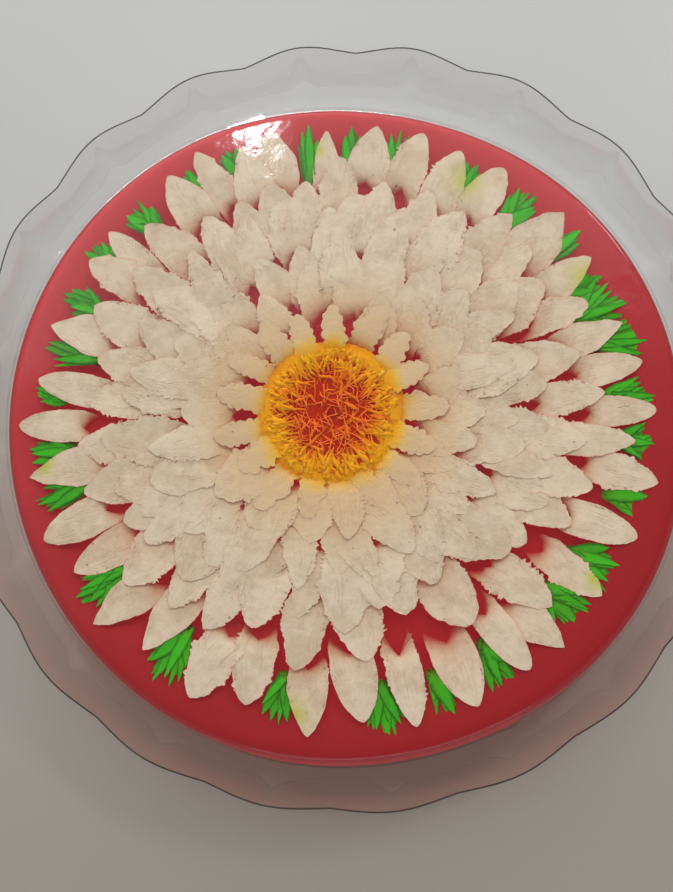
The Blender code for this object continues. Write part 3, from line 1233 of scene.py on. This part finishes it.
def heart_placings(count, near, far, wander, deep, widths, seed):
    """Strands scattered evenly over a ring, pointing outwards give or take wander degrees."""
    rng = random.Random(seed)
    placings = []
    for _ in range(count):
        angle = rng.uniform(0.0, math.tau)
        radius = math.sqrt(rng.uniform(near**2, far**2)) * MM
        at = (*round_flower(angle, radius), TOP - (0.9 + deep * rng.uniform(0.0, 1.0)) * MM)
        turn = (
            math.radians(rng.uniform(-2.0, 9.0)),
            math.radians(rng.uniform(-12.0, 12.0)),
            angle - math.pi / 2 + math.radians(rng.gauss(0.0, wander)),
        )
        wide = rng.uniform(*widths)
        stretch = (wide, rng.uniform(0.7, 1.3), min(wide, 1.0))
        placings.append(Placing(at, turn, stretch, rng.randrange(5), rng.random()))
    return placings


def heart_jelly(name, near_colour, far_colour, near, far):
    """Orange jelly whose colour turns from one to the other with the distance from the middle."""
    material, tree, surface = new_material(name)
    place = add_node(tree, "ShaderNodeTexCoord").outputs["Object"]
    away = distance_from(tree, place, (*FLOWER, TOP))
    tone = add_node(tree, "ShaderNodeAttribute", attribute_name="tone").outputs["Fac"]
    shifted = calc(tree, "MULTIPLY_ADD", noise(tree, place, 260.0, 4.0), 0.010, away)
    shifted = calc(tree, "MULTIPLY_ADD", tone, 0.006, shifted)
    turned = ramp(tree, shifted, (near + 8.0) * MM, (far + 8.0) * MM)
    colour = tint(tree, turned, near_colour, far_colour)
    flecks = ramp(tree, noise(tree, place, 640.0, 4.0, 0.7), 0.52, 0.64)
    colour = tint(tree, calc(tree, "MULTIPLY", flecks, 0.45), colour, near_colour)
    colour = tint(tree, ramp(tree, shifted, 0.0345, 0.0385), colour, GLOW_YELLOW)
    through = {
        "Colour": colour,
        "Red": (*EMBER, 1.0),
        "Half-sunk tint": (1.05, 0.9, 0.6, 1.0),
        "Fade depth": 0.0046,
    }
    end_in_red(tree, surface, through, {"Roughness": 0.55, "Specular IOR Level": 0.05})
    return material


def heart_floor_rings(rings=28, points=144):
    """The stained floor: deep and lumpy in the middle, with a raised rough ring round it."""
    rng = random.Random(8)
    rows = []
    for j in range(1, rings + 1):
        share = j / rings
        row = []
        for i in range(points):
            angle = math.tau * i / points
            wander = 0.5 * math.sin(5 * angle + 1.0) + 0.4 * math.sin(11 * angle)
            radius = share * HEART_RADIUS + rng.uniform(-0.3, 0.3)
            depth = HEART_FLOOR_DEPTH + rng.uniform(-0.25, 0.25)
            depth -= 1.3 * ease(radius + wander, 19.5, 22.5)
            depth += 1.2 * ease(radius + wander, HEART_RADIUS - 4.0, HEART_RADIUS)
            row.append((*round_flower(angle, radius * MM), TOP - depth * MM))
        rows.append(row)
    rows.append([(x, y, TOP - TRAY_DEPTH - MM) for x, y, _ in rows[-1]])
    return rows


heart_floor = closed_rings(
    "heart_floor",
    heart_floor_rings(),
    (FLOWER.x, FLOWER.y, TOP - HEART_FLOOR_DEPTH * MM),
    (FLOWER.x, FLOWER.y, TOP - TRAY_DEPTH - MM),
)
heart_floor.data.materials.append(heart_jelly("heart_floor_jelly", EMBER, YOLK, 17.0, 21.5))
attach(heart_floor, "root")

strand_kit = thread_kit("strand", (6.5, 8.0, 5.0, 7.0, 9.5), 1.25, 0.10, True)
strands = set_in_jelly(
    "heart_strands",
    strand_kit,
    heart_placings(330, 20.0, 26.0, 24.0, 0.5, (0.4, 1.3), 71)
    + heart_placings(80, 9.0, 20.0, 40.0, 1.0, (0.3, 0.8), 72),
    1.0 * MM,
    520.0,
    6,
    heart_jelly("strand_jelly", AMBER, YOLK, 12.0, 23.0),
)
drop_kit(strand_kit)
fine_kit = thread_kit("thread", (4.0, 5.5, 3.5, 6.0, 4.5), 0.24, 0.35, False)
threads = set_in_jelly(
    "heart_threads",
    fine_kit,
    heart_placings(190, 1.0, 22.0, 60.0, 1.0, (0.6, 1.3), 73),
    1.0 * MM,
    600.0,
    7,
    heart_jelly("thread_jelly", SALMON, AMBER, 8.0, 24.0),
)
drop_kit(fine_kit)

# ---------------------------------------------------------------------------------------------
# Wet outer surface: the clear skin of jelly over everything, flat on top as the mould left it,
# rounded at the edge, glossy and very slightly rippled.
# ---------------------------------------------------------------------------------------------

SKIN_TINT = (1.0, 0.985, 0.98)


def skin_rings(cad, centre, between=4):
    """The CAD outline with a flat top of its own and finer steps round the top edge."""
    heights = sorted(cad, reverse=True)
    flat = []
    for share in (0.4, 0.8, 0.95, 0.995):
        flat.append([(*drawn_in(centre, x, y, share), TOP) for x, y in cad[TOP_KEY]])
    levels = [[Vector((x, y, z)) for x, y in cad[z]] for z in heights]
    rings = []
    for number, (upper, lower) in enumerate(zip(levels, levels[1:])):
        before = levels[max(0, number - 1)]
        after = levels[min(len(levels) - 1, number + 2)]
        steps = between if upper[0].z - lower[0].z < 0.004 else 1
        for step in range(steps):
            t = step / steps
            ring = []
            for a, b, c, d in zip(before, upper, lower, after):
                bow = (d - b) * (t**3 - t**2) if after is not lower else Vector()
                lead = (c - a) * (t**3 - 2 * t**2 + t) if before is not upper else Vector()
                mid = b * (2 * t**3 - 3 * t**2 + 1) + c * (3 * t**2 - 2 * t**3)
                bent = mid + (bow + lead) * 0.5 if steps > 1 else b.lerp(c, t)
                ring.append(tuple(bent))
            rings.append(ring)
    rings.append([tuple(point) for point in levels[-1]])
    return flat + rings


def wet_skin():
    material, tree, surface = new_material("wet_skin")
    place = add_node(tree, "ShaderNodeTexCoord").outputs["Object"]
    swell = noise(tree, place, 42.0, 2.0)
    pores = noise(tree, place, 420.0, 2.0)
    height = calc(tree, "MULTIPLY_ADD", pores, 0.09, swell)
    bump = add_node(tree, "ShaderNodeBump", {"Height": height, "Strength": 0.28, "Distance": 0.0012})
    gloss = add_node(tree, "ShaderNodeBsdfGlossy", {"Roughness": 0.07, "Normal": bump.outputs[0]})
    clear = add_node(tree, "ShaderNodeBsdfTransparent", {"Color": (*SKIN_TINT, 1.0)})
    edge = add_node(tree, "ShaderNodeFresnel", {"IOR": 1.36, "Normal": bump.outputs[0]})
    inside = add_node(tree, "ShaderNodeNewGeometry").outputs["Backfacing"]
    shine = calc(tree, "MULTIPLY", edge.outputs[0], calc(tree, "SUBTRACT", 1.0, inside))
    mixed = add_node(tree, "ShaderNodeMixShader", {0: shine, 1: clear.outputs[0], 2: gloss.outputs[0]})
    tree.links.new(mixed.outputs[0], surface)
    return material


skin = closed_rings(
    "jelly_skin",
    skin_rings(jelly_rings, JELLY_CENTRE),
    (*JELLY_CENTRE, TOP),
    (*JELLY_CENTRE, jelly_low.z),
)
skin.data.materials.append(wet_skin())
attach(skin, "root")
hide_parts("jelly")

# ---------------------------------------------------------------------------------------------
# Studio: a pale floor, painted with shade that makes it a little darker and warmer on the near side,
# under a soft surround. Broad panels and low strips light the object, and two small lamps give the
# wet surface its highlights.
# ---------------------------------------------------------------------------------------------

FLOOR_PALE = (0.47, 0.475, 0.455)
FLOOR_PAINTED_SHADE = (0.350, 0.318, 0.272)


def pale_floor():
    material, tree, surface = new_material("pale_floor")
    place = add_node(tree, "ShaderNodeTexCoord").outputs["Object"]
    cloud = noise(tree, place, 5.0)
    # Painted shade: the floor is coloured darker and warmer towards the near side.
    far = add_node(tree, "ShaderNodeSeparateXYZ", {0: place}).outputs["Y"]
    drift = calc(tree, "MULTIPLY_ADD", cloud, 0.06, far)
    colour = tint(tree, ramp(tree, drift, 0.13, -0.17), FLOOR_PALE, FLOOR_PAINTED_SHADE)
    rough = calc(tree, "MULTIPLY_ADD", cloud, 0.10, 0.32)
    shader = add_node(tree, "ShaderNodeBsdfPrincipled", {"Base Color": colour, "Roughness": rough})
    tree.links.new(shader.outputs[0], surface)
    return material


def add_panel(name, place, target, size, power, colour=(1.0, 1.0, 1.0)):
    data = bpy.data.lights.new(name, "AREA")
    data.shape = "RECTANGLE"
    data.size, data.size_y = size
    data.energy = power
    data.color = colour
    panel = bpy.data.objects.new(name, data)
    panel.location = place
    panel.rotation_euler = (Vector(target) - Vector(place)).to_track_quat("-Z", "Y").to_euler()
    bpy.context.scene.collection.objects.link(panel)
    return panel


floor_mesh = bmesh.new()
bmesh.ops.create_grid(floor_mesh, x_segments=1, y_segments=1, size=2.0)
floor_data = finished("floor", floor_mesh)
floor_data.transform(Matrix.Translation((0.0, 0.0, -0.0002)))
floor = link_mesh("floor", floor_data)
floor.data.materials.append(pale_floor())

add_panel("far_panel", (-0.18, 1.35, 1.65), (0.0, 0.05, 0.0), (2.2, 1.7), 15.5)
add_panel("left_lamp", (-0.205, 0.771, 1.268), (-0.03, 0.1, TOP), (0.046, 0.024), 1.25)
add_panel("far_strip", (-0.35, 1.15, 0.15), (0.0, 0.1, TOP), (1.1, 0.12), 8.0)
add_panel("near_panel", (0.15, -1.25, 0.85), (0.0, -0.1, TOP), (1.3, 0.35), 2.4)
add_panel("near_strip", (0.1, -1.2, 0.16), (0.0, -0.1, TOP), (1.6, 0.10), 0.9)
add_panel("right_lamp", (0.70, 0.74, 0.82), (0.1, 0.06, TOP), (0.22, 0.12), 3.0)


def soft_surround():
    """Even pale light from all round, brighter from beyond the far side than from the near one."""
    world = bpy.data.worlds.new("studio")
    world.use_nodes = True
    tree = world.node_tree
    way = add_node(tree, "ShaderNodeTexCoord").outputs["Generated"]
    far = facing(tree, way, (-0.55, 0.83, 0.0))
    level = add_node(
        tree,
        "ShaderNodeMapRange",
        {"Value": far, "From Min": -0.6, "From Max": 0.7, "To Min": 0.29, "To Max": 0.66},
        interpolation_type="SMOOTHSTEP",
    )
    tree.nodes["Background"].inputs["Color"].default_value = (0.97, 0.985, 1.0, 1.0)
    tree.links.new(level.outputs[0], tree.nodes["Background"].inputs["Strength"])
    return world


bpy.context.scene.world = soft_surround()
